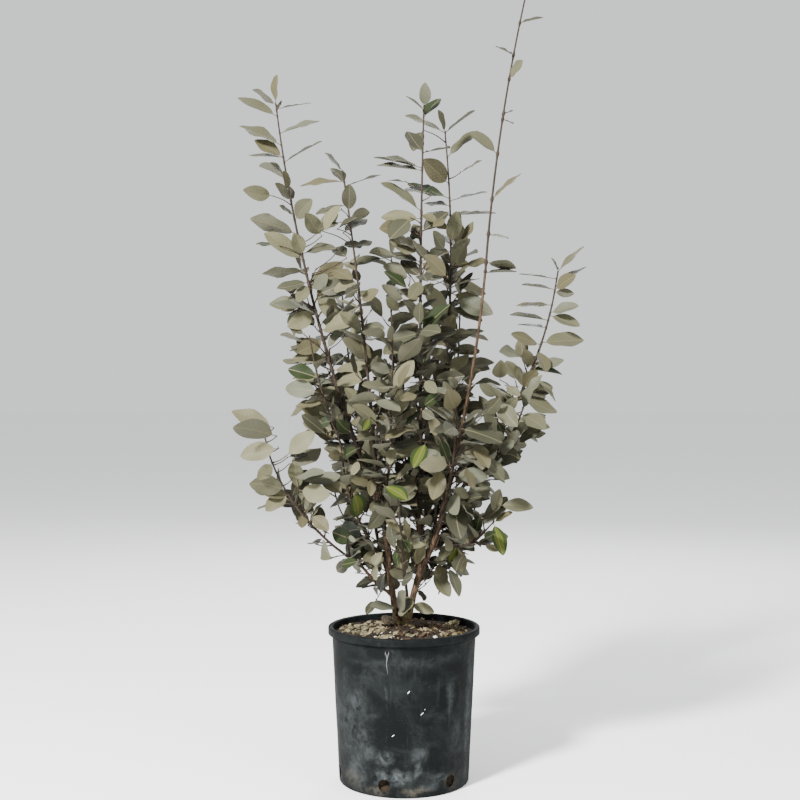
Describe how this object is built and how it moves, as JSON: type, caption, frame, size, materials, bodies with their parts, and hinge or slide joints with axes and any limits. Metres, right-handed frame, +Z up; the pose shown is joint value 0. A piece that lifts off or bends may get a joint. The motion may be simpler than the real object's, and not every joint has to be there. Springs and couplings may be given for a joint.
{
  "type": "potted elaeagnus",
  "caption": "Young evergreen shrub with upright leaders, sage-green leaves and one long bare whip, growing in a round dark nursery pot filled with soil.",
  "frame": {"origin": "middle of the pot's flat underside", "axes": "+Z up, +X to the right of the front view, +Y away from the viewer"},
  "size_m": [0.6087, 0.4479, 1.3718],
  "materials": {
    "pot": "dark weathered plastic with chalky marks",
    "soil": "bark and peat potting soil with pale chips",
    "bark": "thin brown bark, scurfy on the young wood",
    "foliage": "leathery grey-green leaves with paler undersides"
  },
  "bodies": {
    "root": {"pot": "pot", "soil": "soil", "stem_left": "bark", "stem_right": "bark", "bough_left_outer": "bark", "bough_left_inner": "bark", "bough_centre": "bark", "bough_right": "bark", "bough_centre_right": "bark", "whip": "bark", "bough_right_outer": "bark", "bough_lower_left": "bark", "bough_back_left": "bark", "bough_back_right": "bark", "left_spire": "foliage", "left_inner_spire": "foliage", "left_shoulder": "foliage", "centre_spire": "foliage", "centre_right_spire": "foliage", "right_spire": "foliage", "right_shoulder": "foliage", "lower_left_spray": "foliage", "low_left": "foliage", "low_front": "foliage", "middle_front": "foliage", "right_front": "foliage", "low_right": "foliage", "middle": "foliage", "back_left": "foliage", "back_right": "foliage", "low_back_left": "foliage", "low_back_right": "foliage", "back_middle": "foliage", "whip_top": "foliage", "basal_sprout": "foliage"}
  },
  "joints": []
}
